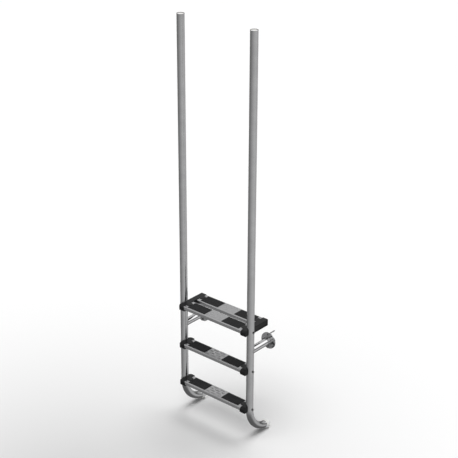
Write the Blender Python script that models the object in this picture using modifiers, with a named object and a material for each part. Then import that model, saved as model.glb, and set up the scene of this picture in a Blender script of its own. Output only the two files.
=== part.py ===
"""Wall-fixed boarding ladder: two bent tube uprights, three treads and two wall stand-offs.

Metres, +Z up. The origin is on the wall plane, midway between the two wall flanges.
+X is to the right of a person facing the wall, and +Y points into the wall.
"""
import math

import bmesh
import bpy
from mathutils import Matrix, Vector

GAP = 0.0003  # left between two pieces that touch
SIDES = {"left": -1, "right": 1}

# Uprights: 43 mm tube, plumb above, bent towards the wall at the foot
TUBE_RADIUS = 0.0215
TUBE_WALL = 0.0015
UPRIGHT_X = 0.25
UPRIGHT_Y = -0.164
UPRIGHT_TOP = 1.837
BEND_START = -0.382
BEND_RADIUS = 0.168
BEND_ANGLE = math.radians(78)
BEND_STEPS = 12
FOOT_STRAIGHT = 0.003  # straight stub after the bend
TUBE_BEVEL_RESOLUTION = 8  # 20 sides
ROUND_SEGMENTS = 24
SMALL_SEGMENTS = 16  # bolts, screws, washers and their holes
FLANGE_SEGMENTS = 40

# Plugs in the two open ends of each upright
PLUG_RADIUS = TUBE_RADIUS - TUBE_WALL - GAP
PLUG_DEPTH = 0.022
PLUG_SKIRT_WALL = 0.0025
TOP_PLUG_RECESS = 0.005
TOP_PLUG_THICKNESS = 0.004
BUMPER_RADIUS = 0.027
BUMPER_STUB_RADIUS = PLUG_RADIUS - 0.0005  # eased, because the tube still bends here
BUMPER_STUB_LENGTH = 0.012
BUMPER_CENTRE = 0.017  # from the end of the tube to the centre of the ball
BALL_STEPS = 11

# Wall fixings
FLANGE_RADIUS = 0.05
FLANGE_THICKNESS = 0.006
FLANGE_EDGE = 0.0015
SCREW_HOLE_RADIUS = 0.0045
SCREW_PITCH_RADIUS = 0.04
SCREW_RADIUS = 0.0037
SCREW_LENGTH = 0.063
SCREW_POINT = 0.009
SCREW_FLANGE_RADIUS = 0.0078
SCREW_FLANGE_THICKNESS = 0.0014
SCREW_HEAD_FLATS = 0.0126
SCREW_HEAD_HEIGHT = 0.0058
SCREW_HEAD_SUNK = 0.0004  # the hexagon starts this far inside its round flange

# Treads
TREAD_SPACING = 0.25
TREAD_TOPS = {
    "bottom": 0.1365 - 2 * TREAD_SPACING,
    "middle": 0.1365 - TREAD_SPACING,
    "top": 0.1365,
}
REAR_PLANK_SHIFT = 0.112
PLANK_DEPTH = 0.086
PLANK_HEIGHT = 0.022
PLANK_SHEET = 0.0015
PLANK_BEND_RADIUS = 0.006
PLANK_LIP = 0.008
PLANK_LIP_BEND = 0.003
CORNER_STEPS = 5

# Grip pads
PAD_INNER_X = 0.063
PAD_OUTER_X = 0.191
PAD_DEPTH = 0.067
PAD_BASE = 0.0014
PAD_RIB_HEIGHT = 0.0010
PAD_RIB_COUNT = 12

# End caps
CAP_INNER_X = 0.215
CAP_FRONT = 0.048
CAP_REAR = 0.048
LONG_CAP_REAR = 0.155
CAP_RISE = 0.0025  # above the plank
CAP_DROP = 0.036
CAP_NOSE_RADIUS = 0.018
CAP_NOSE_CORNER = 0.01  # outer front corner, in plan and at the bottom
CAP_CORNER_RADIUS = 0.021
CAP_REAR_EDGE = 0.002
LONG_CAP_CORNER = 0.003
SPIGOT_LENGTH = 0.026
SPIGOT_DEPTH = 0.072
SPIGOT_HEIGHT = 0.0165
TONGUE_DEPTH = 0.036
TONGUE_CORNER = 0.012
PANEL_MARGIN = 0.006
PANEL_DEPTH = 0.0015
POCKET_WALL = 0.0035
POCKET_ROOF = 0.004

# Tread fixings: an M8 bolt through the upright, the cap and a nut in the spigot
BOLT_DROP = 0.0134  # below the top of the plank
BOLT_RADIUS = 0.003
BOLT_HOLE_RADIUS = 0.0033
BOLT_HEAD_RADIUS = 0.0052
BOLT_HEAD_HEIGHT = 0.003
BOLT_SOCKET_FLATS = 0.004
BOLT_SOCKET_DEPTH = 0.0018
WASHER_RADIUS = 0.0068
WASHER_CENTRE_THICKNESS = 0.002
WASHER_RIM = 0.002
NUT_FLATS = 0.01
NUT_HEIGHT = 0.005
NUT_X = 0.1905


def remove_everything():
    for obj in list(bpy.data.objects):
        bpy.data.objects.remove(obj, do_unlink=True)


def new_collection(name):
    collection = bpy.data.collections.new(name)
    bpy.context.scene.collection.children.link(collection)
    return collection


def new_material(name, colour, roughness, metallic):
    material = bpy.data.materials.new(name)
    material.use_nodes = True
    shader = material.node_tree.nodes["Principled BSDF"]
    shader.inputs["Base Color"].default_value = (*colour, 1.0)
    shader.inputs["Roughness"].default_value = roughness
    shader.inputs["Metallic"].default_value = metallic
    material.diffuse_color = (*colour, 1.0)
    return material


remove_everything()
LADDER = new_collection("boarding_ladder")
CUTTERS = new_collection("cutters")
SATIN_STEEL = new_material("satin_steel", (0.45, 0.45, 0.46), 0.32, 1.0)
POLISHED_STEEL = new_material("polished_steel", (0.60, 0.60, 0.61), 0.08, 1.0)
FASTENER_STEEL = new_material("fastener_steel", (0.42, 0.42, 0.43), 0.28, 1.0)
BLACK_PLASTIC = new_material("black_plastic", (0.015, 0.015, 0.016), 0.38, 0.0)
BLACK_RUBBER = new_material("black_rubber", (0.022, 0.022, 0.023), 0.75, 0.0)
WHITE_PLASTIC = new_material("white_plastic", (0.83, 0.83, 0.82), 0.35, 0.0)


# Shared shapes.


def place(name, mesh, location, material=None, rotation=(0, 0, 0)):
    """A named object in the ladder's collection, or a cutter if it has no material."""
    obj = bpy.data.objects.new(name, mesh)
    obj.location = location
    obj.rotation_euler = rotation
    if material:
        mesh.materials.append(material)
        mesh.shade_smooth()
        mesh.set_sharp_from_angle(angle=math.radians(35))
        LADDER.objects.link(obj)
    else:
        CUTTERS.objects.link(obj)
        obj.hide_render = True
        obj.display_type = "WIRE"
    return obj


def mesh_from_curve(curve):
    """The curve's surface as a mesh, with its loose caps welded."""
    obj = bpy.data.objects.new(curve.name, curve)
    LADDER.objects.link(obj)
    bpy.context.view_layer.update()
    evaluated = obj.evaluated_get(bpy.context.evaluated_depsgraph_get())
    mesh = bpy.data.meshes.new_from_object(evaluated)
    bpy.data.objects.remove(obj, do_unlink=True)
    bpy.data.curves.remove(curve)
    bm = bmesh.new()
    bm.from_mesh(mesh)
    bmesh.ops.remove_doubles(bm, verts=bm.verts, dist=0.00001)
    bmesh.ops.recalc_face_normals(bm, faces=bm.faces)
    bm.to_mesh(mesh)
    bm.free()
    return mesh


def tube_surface(name, points, radius=TUBE_RADIUS, caps=False):
    """A round tube skin along the points, open at its ends unless it has caps."""
    curve = bpy.data.curves.new(name, "CURVE")
    curve.dimensions = "3D"
    curve.use_fill_caps = caps
    curve.bevel_depth = radius
    curve.bevel_resolution = TUBE_BEVEL_RESOLUTION
    spline = curve.splines.new("POLY")
    spline.points.add(len(points) - 1)
    for point, position in zip(spline.points, points):
        point.co = (*position, 1)
    return mesh_from_curve(curve)


def extruded_outline(name, outline, thickness):
    """A flat outline in local XY, filled and given thickness along Z, centred on Z = 0."""
    curve = bpy.data.curves.new(name, "CURVE")
    curve.dimensions = "2D"
    curve.fill_mode = "BOTH"
    curve.extrude = thickness / 2
    spline = curve.splines.new("POLY")
    spline.points.add(len(outline) - 1)
    for point, (u, v) in zip(spline.points, outline):
        point.co = (u, v, 0, 1)
    spline.use_cyclic_u = True
    return mesh_from_curve(curve)


def arc(centre, radius, start, end, steps):
    """Points of an arc in degrees, both ends included."""
    angles = [math.radians(start + (end - start) * i / steps) for i in range(steps + 1)]
    return [(centre[0] + radius * math.cos(a), centre[1] + radius * math.sin(a)) for a in angles]


def box_mesh(name, size):
    mesh = bpy.data.meshes.new(name)
    bm = bmesh.new()
    bmesh.ops.create_cube(bm, size=1, matrix=Matrix.Diagonal((*size, 1)))
    bm.to_mesh(mesh)
    bm.free()
    return mesh


def cylinder_mesh(name, radius, length, segments):
    mesh = bpy.data.meshes.new(name)
    bm = bmesh.new()
    bmesh.ops.create_cone(
        bm, cap_ends=True, segments=segments, radius1=radius, radius2=radius, depth=length
    )
    bm.to_mesh(mesh)
    bm.free()
    return mesh


def turned_object(name, profile, location, material, rotation=(0, 0, 0), steps=ROUND_SEGMENTS):
    """A profile of (radius, height) points, listed from top to bottom, turned about local Z."""
    mesh = bpy.data.meshes.new(name)
    bm = bmesh.new()
    verts = [bm.verts.new((radius, 0, height)) for radius, height in profile]
    for upper, lower in zip(verts, verts[1:]):
        bm.edges.new((upper, lower))
    bm.to_mesh(mesh)
    bm.free()
    obj = place(name, mesh, location, material, rotation)
    turn = obj.modifiers.new("turn", "SCREW")
    turn.steps = steps
    turn.render_steps = steps
    turn.use_merge_vertices = True
    turn.merge_threshold = 0.00001
    turn.use_smooth_shade = True
    return obj


def boolean(target, tool, operation="DIFFERENCE"):
    modifier = target.modifiers.new(f"{operation.lower()}_{tool.name}", "BOOLEAN")
    modifier.operation = operation
    modifier.object = tool
    return modifier


def hexagon_radius(flats):
    return flats / 2 / math.cos(math.radians(30))


TURN_TO_X = (0, math.radians(90), 0)
TURN_TO_Y = (math.radians(-90), 0, 0)


# Uprights and what closes their ends.


def foot_end():
    """Where the upright's axis ends, from the wall plane: (y, z), and its direction there."""
    direction = Vector((0, math.sin(BEND_ANGLE), -math.cos(BEND_ANGLE)))
    y = UPRIGHT_Y + BEND_RADIUS * (1 - math.cos(BEND_ANGLE)) + FOOT_STRAIGHT * direction.y
    z = BEND_START - BEND_RADIUS * math.sin(BEND_ANGLE) + FOOT_STRAIGHT * direction.z
    return y, z, direction


def upright_path():
    """Axis points of an upright, relative to its plumb axis, from the top to the foot."""
    points = [(0, 0, UPRIGHT_TOP)]
    for step in range(BEND_STEPS + 1):
        angle = BEND_ANGLE * step / BEND_STEPS
        y = BEND_RADIUS * (1 - math.cos(angle))
        points.append((0, y, BEND_START - BEND_RADIUS * math.sin(angle)))
    end_y, end_z, _ = foot_end()
    points.append((0, end_y - UPRIGHT_Y, end_z))
    return points


def make_upright(side):
    name = f"{side}_upright"
    location = (SIDES[side] * UPRIGHT_X, UPRIGHT_Y, 0)
    upright = place(name, tube_surface(name, upright_path()), location, SATIN_STEEL)
    wall = upright.modifiers.new("wall", "SOLIDIFY")
    wall.thickness = TUBE_WALL
    wall.offset = -1
    return upright


def make_top_plug(side):
    """A cup that stands in the tube, its closed face a little below the tube's rim."""
    face = UPRIGHT_TOP - TOP_PLUG_RECESS
    inner = PLUG_RADIUS - PLUG_SKIRT_WALL
    profile = [
        (0, face),
        (PLUG_RADIUS - 0.001, face),
        (PLUG_RADIUS, face - 0.001),
        (PLUG_RADIUS, face - PLUG_DEPTH),
        (inner, face - PLUG_DEPTH),
        (inner, face - TOP_PLUG_THICKNESS),
        (0, face - TOP_PLUG_THICKNESS),
    ]
    location = (SIDES[side] * UPRIGHT_X, UPRIGHT_Y, 0)
    return turned_object(f"{side}_top_plug", profile, location, WHITE_PLASTIC)


def make_wall_bumper(side, wall_block):
    """A plug in the bent end with a ball for its nose, flat where it meets the wall."""
    start = math.degrees(math.asin((GAP - BUMPER_CENTRE) / BUMPER_RADIUS))
    ball = arc((0, BUMPER_CENTRE), BUMPER_RADIUS, 90, start, BALL_STEPS)
    profile = [(0, BUMPER_CENTRE + BUMPER_RADIUS), *ball[1:]]
    profile += [
        (BUMPER_STUB_RADIUS, GAP),
        (BUMPER_STUB_RADIUS, -BUMPER_STUB_LENGTH),
        (0, -BUMPER_STUB_LENGTH),
    ]
    y, z, _ = foot_end()
    location = (SIDES[side] * UPRIGHT_X, y, z)
    rotation = (BEND_ANGLE - math.pi, 0, 0)
    bumper = turned_object(f"{side}_wall_bumper", profile, location, WHITE_PLASTIC, rotation)
    boolean(bumper, wall_block)
    return bumper


# Wall fixings.


def make_standoff_tube(side, saddle):
    """A tube from the upright to the flange, its near end coped to the upright."""
    name = f"{side}_standoff_tube"
    end = -FLANGE_THICKNESS - GAP
    mesh = tube_surface(name, [(0, UPRIGHT_Y, 0), (0, end, 0)])
    tube = place(name, mesh, (SIDES[side] * UPRIGHT_X, 0, 0), SATIN_STEEL)
    wall = tube.modifiers.new("wall", "SOLIDIFY")
    wall.thickness = TUBE_WALL
    wall.offset = -1
    boolean(tube, saddle)
    return tube


def make_wall_flange(side):
    """A round plate with a rounded front edge and two screw holes, one above the other."""
    front = FLANGE_THICKNESS
    edge = FLANGE_EDGE
    profile = [
        (0, front),
        *arc((FLANGE_RADIUS - edge, front - edge), edge, 90, 0, 3),
        (FLANGE_RADIUS, 0),
        (0, 0),
    ]
    rotation = (math.radians(90), 0, 0)
    x = SIDES[side] * UPRIGHT_X
    name = f"{side}_wall_flange"
    flange = turned_object(name, profile, (x, 0, 0), POLISHED_STEEL, rotation, FLANGE_SEGMENTS)
    for level, sign in (("upper", 1), ("lower", -1)):
        name = f"{side}_{level}_screw_hole"
        hole = cylinder_mesh(name, SCREW_HOLE_RADIUS, 0.03, SMALL_SEGMENTS)
        boolean(flange, place(name, hole, (x, 0, sign * SCREW_PITCH_RADIUS), rotation=TURN_TO_Y))
    return flange


def make_wall_screw(side, level, sign):
    """A coach screw with a hexagon head on a round flange, its point behind the wall plane."""
    profile = [
        (0, SCREW_FLANGE_THICKNESS),
        (SCREW_FLANGE_RADIUS, SCREW_FLANGE_THICKNESS),
        (SCREW_FLANGE_RADIUS, 0),
        (SCREW_RADIUS, 0),
        (SCREW_RADIUS, SCREW_POINT - SCREW_LENGTH),
        (0, -SCREW_LENGTH),
    ]
    y = -FLANGE_THICKNESS - GAP
    location = (SIDES[side] * UPRIGHT_X, y, sign * SCREW_PITCH_RADIUS)
    rotation = (math.radians(90), 0, 0)
    name = f"{side}_{level}_wall_screw"
    screw = turned_object(name, profile, location, FASTENER_STEEL, rotation, SMALL_SEGMENTS)
    radius = hexagon_radius(SCREW_HEAD_FLATS)
    bottom = SCREW_HEAD_SUNK
    height = SCREW_HEAD_HEIGHT - bottom
    head = cylinder_mesh(f"{name}_head", radius, height, 6)
    head.transform(Matrix.Translation((0, 0, bottom + height / 2)))
    tool = place(f"{name}_head", head, location, rotation=rotation)
    boolean(screw, tool, "UNION")
    return screw


# Treads.


def channel_outline():
    """Outer skin of the channel in (y, z), from the front lip over the top to the rear lip."""
    half = PLANK_DEPTH / 2
    radius = PLANK_BEND_RADIUS
    bottom = -PLANK_HEIGHT
    front = [(-half + PLANK_LIP, bottom)]
    bend = PLANK_LIP_BEND
    front += arc((-half + bend, bottom + bend), bend, 270, 180, 3)
    front += arc((-half + radius, -radius), radius, 180, 90, CORNER_STEPS)
    return front + [(-y, z) for y, z in reversed(front)]


def make_plank(name, y, z):
    """A steel channel, open below, with rounded edges and short inward lips."""
    mesh = bpy.data.meshes.new(name)
    bm = bmesh.new()
    length = CAP_INNER_X - GAP
    verts = [bm.verts.new((-length, v, w)) for v, w in channel_outline()]
    edges = [bm.edges.new(pair) for pair in zip(verts, verts[1:])]
    swept = bmesh.ops.extrude_edge_only(bm, edges=edges)["geom"]
    moved = [item for item in swept if isinstance(item, bmesh.types.BMVert)]
    bmesh.ops.translate(bm, verts=moved, vec=(2 * length, 0, 0))
    bmesh.ops.recalc_face_normals(bm, faces=bm.faces)
    bm.to_mesh(mesh)
    bm.free()
    plank = place(name, mesh, (0, y, z), SATIN_STEEL)
    sheet = plank.modifiers.new("sheet", "SOLIDIFY")
    sheet.thickness = PLANK_SHEET
    sheet.offset = -1
    sheet.use_even_offset = True
    return plank


def ribbed_outline():
    """Cross-section of a pad in (y, z): a flat base with flat-topped ribs."""
    half = PAD_DEPTH / 2
    pitch = PAD_DEPTH / PAD_RIB_COUNT
    top = PAD_BASE + PAD_RIB_HEIGHT
    points = [(half, 0), (half, PAD_BASE)]
    for rib in range(PAD_RIB_COUNT):
        start = half - rib * pitch
        points.append((start - 0.15 * pitch, PAD_BASE))
        points.append((start - 0.28 * pitch, top))
        points.append((start - 0.72 * pitch, top))
        points.append((start - 0.85 * pitch, PAD_BASE))
    return points + [(-half, PAD_BASE), (-half, 0)]


def make_grip_pad(name, side, y, z):
    """A ribbed pad that lies on the plank, its ribs along the tread."""
    length = PAD_OUTER_X - PAD_INNER_X
    mesh = extruded_outline(name, ribbed_outline(), length)
    # local X, Y and Z of the outline become world Y, Z and X
    mesh.transform(Matrix(((0, 0, 1, 0), (1, 0, 0, 0), (0, 1, 0, 0), (0, 0, 0, 1))))
    middle = SIDES[side] * (PAD_INNER_X + PAD_OUTER_X) / 2
    return place(name, mesh, (middle, y, z + GAP), BLACK_RUBBER)


# End caps.


def cap_plan(side, rear):
    """Plan of a cap in (x, y) from the upright's axis: square inside, rounded outer corners."""
    sign = SIDES[side]
    depth = UPRIGHT_X - CAP_INNER_X
    front = CAP_NOSE_CORNER
    radius = CAP_CORNER_RADIUS if rear == CAP_REAR else LONG_CAP_CORNER
    outline = [(-depth, -CAP_FRONT), *arc((-front, -CAP_FRONT + front), front, 270, 360, 6)]
    outline += arc((-radius, rear - radius), radius, 0, 90, 8)
    outline.append((-depth, rear))
    return [(sign * x, y) for x, y in outline]


def cap_side(rear):
    """Side view of a cap in (y, z) from the plank's top: a round nose and a square rear."""
    nose = CAP_NOSE_RADIUS
    edge = CAP_REAR_EDGE
    outline = arc((-CAP_FRONT + nose, CAP_RISE - nose), nose, 90, 180, 8)
    outline += arc((-CAP_FRONT + nose, -CAP_DROP + nose), nose, 180, 270, 8)
    outline += arc((rear - edge, -CAP_DROP + edge), edge, 270, 360, 3)
    outline += arc((rear - edge, CAP_RISE - edge), edge, 0, 90, 3)
    return outline


def make_nose_cutter(name, sign, axis):
    """Takes the lower outer edge off the nose, in front of the upright, to a round."""
    radius = CAP_NOSE_CORNER
    spare = 0.001
    outline = [(spare, -CAP_DROP - spare), (spare, -CAP_DROP + radius)]
    outline += arc((-radius, -CAP_DROP + radius), radius, 0, -90, 6)
    outline.append((-radius, -CAP_DROP - spare))
    length = CAP_FRONT + spare
    mesh = extruded_outline(name, [(sign * x, z) for x, z in outline], length)
    # local X, Y and Z of the outline become world X, Z and -Y
    mesh.transform(Matrix(((1, 0, 0, 0), (0, 0, -1, 0), (0, 1, 0, 0), (0, 0, 0, 1))))
    return place(name, mesh, axis - Vector((0, length / 2, 0)))


def make_cap_tools(name, side, rear, z):
    """The solids that shape one cap: side view, spigots, tongues, nose, pocket and panel."""
    sign = SIDES[side]
    axis = Vector((sign * UPRIGHT_X, UPRIGHT_Y, z))
    profile = extruded_outline(f"{name}_side_view", cap_side(rear), 0.1)
    profile.transform(Matrix(((0, 0, 1, 0), (1, 0, 0, 0), (0, 1, 0, 0), (0, 0, 0, 1))))
    tools = [(place(f"{name}_side_view", profile, axis), "INTERSECT")]

    planks = [0] if rear == CAP_REAR else [0, REAR_PLANK_SHIFT]
    for number, shift in enumerate(planks, start=1):
        spigot_name = f"{name}_spigot_{number}"
        size = (SPIGOT_LENGTH + 0.001, SPIGOT_DEPTH, SPIGOT_HEIGHT)
        x = sign * (CAP_INNER_X - SPIGOT_LENGTH / 2 + 0.0005)
        top = z - PLANK_SHEET - GAP
        place_at = (x, UPRIGHT_Y + shift, top - SPIGOT_HEIGHT / 2)
        tools.append((place(spigot_name, box_mesh(spigot_name, size), place_at), "UNION"))
        tongue_name = f"{name}_tongue_{number}"
        tools.append((make_tongue(tongue_name, sign, UPRIGHT_Y + shift, z), "UNION"))

    tools.append((make_nose_cutter(f"{name}_nose_corner", sign, axis), "DIFFERENCE"))
    pocket_name = f"{name}_pocket"
    depth = UPRIGHT_X - CAP_INNER_X - 2 * POCKET_WALL
    size = (depth, rear - TUBE_RADIUS - 3 * POCKET_WALL, CAP_DROP + CAP_RISE)
    x = sign * (UPRIGHT_X + CAP_INNER_X) / 2
    middle = (TUBE_RADIUS + rear) / 2
    place_at = (x, UPRIGHT_Y + middle, z + CAP_RISE - POCKET_ROOF - size[2] / 2)
    tools.append((place(pocket_name, box_mesh(pocket_name, size), place_at), "DIFFERENCE"))
    if rear == LONG_CAP_REAR:
        low = TUBE_RADIUS + PANEL_MARGIN
        high = rear - PANEL_MARGIN
        size = (2 * PANEL_DEPTH, high - low, CAP_DROP + CAP_RISE - 2 * PANEL_MARGIN)
        place_at = (axis.x, UPRIGHT_Y + (low + high) / 2, z + (CAP_RISE - CAP_DROP) / 2)
        tool = place(f"{name}_panel", box_mesh(f"{name}_panel", size), place_at)
        tools.append((tool, "DIFFERENCE"))
    return tools


def make_tongue(name, sign, y, z):
    """A round-cornered tab that lies on the plank and reaches to the grip pad."""
    reach = CAP_INNER_X - PAD_OUTER_X - 2 * GAP
    half = TONGUE_DEPTH / 2
    outline = [(0.001, -half), (0.001, half)]
    outline += arc((-reach + TONGUE_CORNER, half - TONGUE_CORNER), TONGUE_CORNER, 90, 180, 6)
    outline += arc((-reach + TONGUE_CORNER, -half + TONGUE_CORNER), TONGUE_CORNER, 180, 270, 6)
    thickness = CAP_RISE - GAP
    mesh = extruded_outline(name, [(sign * x, v) for x, v in outline], thickness)
    return place(name, mesh, (sign * CAP_INNER_X, y, z + GAP + thickness / 2))


def make_end_cap(side, level, saddle, bolt_hole):
    """A moulded cap between the plank and the upright, with a spigot inside the plank."""
    rear = LONG_CAP_REAR if level == "top" else CAP_REAR
    name = f"{level}_{side}_end_cap"
    z = TREAD_TOPS[level]
    sign = SIDES[side]
    height = CAP_DROP + CAP_RISE
    mesh = extruded_outline(name, cap_plan(side, rear), height)
    mesh.transform(Matrix.Translation((0, 0, (CAP_RISE - CAP_DROP) / 2)))
    cap = place(name, mesh, (sign * UPRIGHT_X, UPRIGHT_Y, z), BLACK_PLASTIC)
    for tool, operation in make_cap_tools(name, side, rear, z):
        boolean(cap, tool, operation)
    boolean(cap, saddle)
    boolean(cap, bolt_hole)
    pocket_name = f"{name}_nut_pocket"
    radius = hexagon_radius(NUT_FLATS + 2 * GAP)
    depth = NUT_X - (CAP_INNER_X - SPIGOT_LENGTH) + NUT_HEIGHT + GAP + 0.001
    pocket = cylinder_mesh(pocket_name, radius, depth, 6)
    x = sign * (CAP_INNER_X - SPIGOT_LENGTH - 0.001 + depth / 2)
    tool = place(pocket_name, pocket, (x, UPRIGHT_Y, z - BOLT_DROP), rotation=TURN_TO_X)
    boolean(cap, tool)
    return cap


# Tread fixings.


def bolt_axis(side, level):
    return Vector((SIDES[side] * UPRIGHT_X, UPRIGHT_Y, TREAD_TOPS[level] - BOLT_DROP))


def outward(side):
    """Turns local +Z to point away from the ladder's middle."""
    return (0, SIDES[side] * math.radians(90), 0)


def make_tread_bolt(side, level):
    """A button-head bolt with a hexagon socket, its head on the washer outside the tube."""
    seat = TUBE_RADIUS + GAP + WASHER_CENTRE_THICKNESS + GAP
    end = UPRIGHT_X - NUT_X + 0.002
    profile = [(0, seat + BOLT_HEAD_HEIGHT)]
    for step in range(1, 4):
        angle = math.radians(90 * step / 4)
        radius = BOLT_HEAD_RADIUS * math.sin(angle)
        profile.append((radius, seat + 0.001 + (BOLT_HEAD_HEIGHT - 0.001) * math.cos(angle)))
    profile += [
        (BOLT_HEAD_RADIUS, seat + 0.001),
        (BOLT_HEAD_RADIUS, seat),
        (BOLT_RADIUS, seat),
        (BOLT_RADIUS, -end + 0.001),
        (BOLT_RADIUS - 0.001, -end),
        (0, -end),
    ]
    name = f"{level}_{side}_tread_bolt"
    location = bolt_axis(side, level)
    turn = outward(side)
    bolt = turned_object(name, profile, location, FASTENER_STEEL, turn, SMALL_SEGMENTS)
    socket = cylinder_mesh(f"{name}_socket", hexagon_radius(BOLT_SOCKET_FLATS), 0.01, 6)
    socket.transform(
        Matrix.Translation((0, 0, seat + BOLT_HEAD_HEIGHT - BOLT_SOCKET_DEPTH + 0.005))
    )
    tool = place(f"{name}_socket", socket, location, rotation=turn)
    boolean(bolt, tool)
    return bolt


def make_saddle_washer(side, level, saddle):
    """A black ring that is hollowed to the tube on one side and cupped for the bolt head."""
    seat = TUBE_RADIUS + GAP + WASHER_CENTRE_THICKNESS
    outer = seat + WASHER_RIM
    cup = BOLT_HEAD_RADIUS + GAP
    profile = [
        (BOLT_HOLE_RADIUS, seat),
        (cup, seat),
        (cup, outer),
        (WASHER_RADIUS - 0.0006, outer),
        (WASHER_RADIUS, outer - 0.0006),
        (WASHER_RADIUS, TUBE_RADIUS - 0.004),
        (BOLT_HOLE_RADIUS, TUBE_RADIUS - 0.004),
        (BOLT_HOLE_RADIUS, seat),
    ]
    name = f"{level}_{side}_saddle_washer"
    location = bolt_axis(side, level)
    turn = outward(side)
    washer = turned_object(name, profile, location, BLACK_PLASTIC, turn, SMALL_SEGMENTS)
    boolean(washer, saddle)
    return washer


def make_captive_nut(side, level):
    """A hexagon nut in the end of the cap's spigot."""
    name = f"{level}_{side}_captive_nut"
    location = bolt_axis(side, level)
    location.x = SIDES[side] * (NUT_X + NUT_HEIGHT / 2)
    mesh = cylinder_mesh(name, hexagon_radius(NUT_FLATS), NUT_HEIGHT, 6)
    nut = place(name, mesh, location, FASTENER_STEEL, outward(side))
    hole = cylinder_mesh(f"{name}_hole", BOLT_HOLE_RADIUS, 0.02, SMALL_SEGMENTS)
    boolean(nut, place(f"{name}_hole", hole, location, rotation=outward(side)))
    return nut


# The ladder.


def make_side(side):
    """Everything of one side: the upright, its wall fixing and the fixings of three treads."""
    sign = SIDES[side]
    saddle_mesh = tube_surface(f"{side}_saddle", upright_path(), TUBE_RADIUS + GAP, caps=True)
    saddle = place(f"{side}_saddle", saddle_mesh, (sign * UPRIGHT_X, UPRIGHT_Y, 0))
    y, z, _ = foot_end()
    block = box_mesh(f"{side}_wall_block", (0.1, 0.1, 0.1))
    wall_block = place(f"{side}_wall_block", block, (sign * UPRIGHT_X, 0.05, z))
    upright = make_upright(side)
    make_top_plug(side)
    make_wall_bumper(side, wall_block)
    make_standoff_tube(side, saddle)
    make_wall_flange(side)
    for level, screw_sign in (("upper", 1), ("lower", -1)):
        make_wall_screw(side, level, screw_sign)
    for level in TREAD_TOPS:
        name = f"{level}_{side}_bolt_hole"
        hole_mesh = cylinder_mesh(name, BOLT_HOLE_RADIUS, 0.14, SMALL_SEGMENTS)
        hole = place(name, hole_mesh, bolt_axis(side, level), rotation=TURN_TO_X)
        boolean(upright, hole)
        make_end_cap(side, level, saddle, hole)
        make_tread_bolt(side, level)
        make_saddle_washer(side, level, saddle)
        make_captive_nut(side, level)


def make_treads():
    """The four planks, each with two grip pads."""
    planks = {
        "bottom": (UPRIGHT_Y, TREAD_TOPS["bottom"]),
        "middle": (UPRIGHT_Y, TREAD_TOPS["middle"]),
        "top_front": (UPRIGHT_Y, TREAD_TOPS["top"]),
        "top_rear": (UPRIGHT_Y + REAR_PLANK_SHIFT, TREAD_TOPS["top"]),
    }
    for name, (y, z) in planks.items():
        make_plank(f"{name}_plank", y, z)
        for side in SIDES:
            make_grip_pad(f"{name}_{side}_grip_pad", side, y, z)


for ladder_side in SIDES:
    make_side(ladder_side)
make_treads()
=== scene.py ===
import math

import bmesh
import bpy
import numpy as np
from mathutils import Matrix, Vector


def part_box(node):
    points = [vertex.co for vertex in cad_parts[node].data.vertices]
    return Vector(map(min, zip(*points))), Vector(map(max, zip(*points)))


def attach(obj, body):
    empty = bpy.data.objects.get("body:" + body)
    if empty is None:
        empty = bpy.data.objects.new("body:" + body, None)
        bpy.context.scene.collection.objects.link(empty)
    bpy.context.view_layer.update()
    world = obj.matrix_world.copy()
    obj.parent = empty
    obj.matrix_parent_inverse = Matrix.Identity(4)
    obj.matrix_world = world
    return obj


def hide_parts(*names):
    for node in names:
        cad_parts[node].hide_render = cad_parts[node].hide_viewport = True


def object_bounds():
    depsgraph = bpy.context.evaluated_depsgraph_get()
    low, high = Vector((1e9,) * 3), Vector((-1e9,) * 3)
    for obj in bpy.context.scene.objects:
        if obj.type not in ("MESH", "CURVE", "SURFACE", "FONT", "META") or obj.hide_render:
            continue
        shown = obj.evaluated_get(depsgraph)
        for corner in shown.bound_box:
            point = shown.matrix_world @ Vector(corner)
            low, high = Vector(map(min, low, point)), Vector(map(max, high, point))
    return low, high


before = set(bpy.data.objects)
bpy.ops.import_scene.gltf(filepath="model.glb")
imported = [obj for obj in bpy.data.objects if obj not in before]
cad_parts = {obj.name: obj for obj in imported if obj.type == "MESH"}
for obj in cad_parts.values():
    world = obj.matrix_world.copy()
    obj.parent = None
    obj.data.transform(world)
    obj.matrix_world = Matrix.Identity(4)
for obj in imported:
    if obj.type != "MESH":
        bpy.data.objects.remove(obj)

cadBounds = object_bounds()
ladderBody = "ladder"
sideSigns = {"left": -1.0, "right": 1.0}
treadLevels = ["bottom", "middle", "top"]
plankNames = ["bottom", "middle", "top_front", "top_rear"]
wallLevels = ["upper", "lower"]
sharpDegrees = 32  # steeper creases than this stay hard in the shading
pinRadius = 0.0004  # the small last ring that a fan closes


def nodeBox(name):
    # lowest and highest corner of a frame node, as two arrays in metres
    low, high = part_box(name)
    return np.array(low), np.array(high)


def hexColour(text):
    # sRGB hex to linear RGBA
    channels = np.array([int(text[i:i + 2], 16) for i in (0, 2, 4)]) / 255
    linear = np.where(channels <= 0.04045, channels / 12.92, ((channels + 0.055) / 1.055) ** 2.4)
    return (*[float(c) for c in linear], 1.0)


def greyColour(level):
    return (level, level, level, 1.0)


def setInputs(tree, node, inputs):
    # each input takes a value, or a socket to link
    for key, value in inputs.items():
        if isinstance(value, bpy.types.NodeSocket):
            tree.links.new(value, node.inputs[key])
        else:
            node.inputs[key].default_value = value


def addNode(tree, kind, settings=None, inputs=None):
    # one node: settings are its properties, inputs are values or sockets to link
    node = tree.nodes.new(kind)
    for key, value in (settings or {}).items():
        setattr(node, key, value)
    setInputs(tree, node, inputs or {})
    return node


def newMaterial(name):
    material = bpy.data.materials.new(name)
    material.use_nodes = True
    return material, material.node_tree, material.node_tree.nodes["Principled BSDF"]


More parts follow.
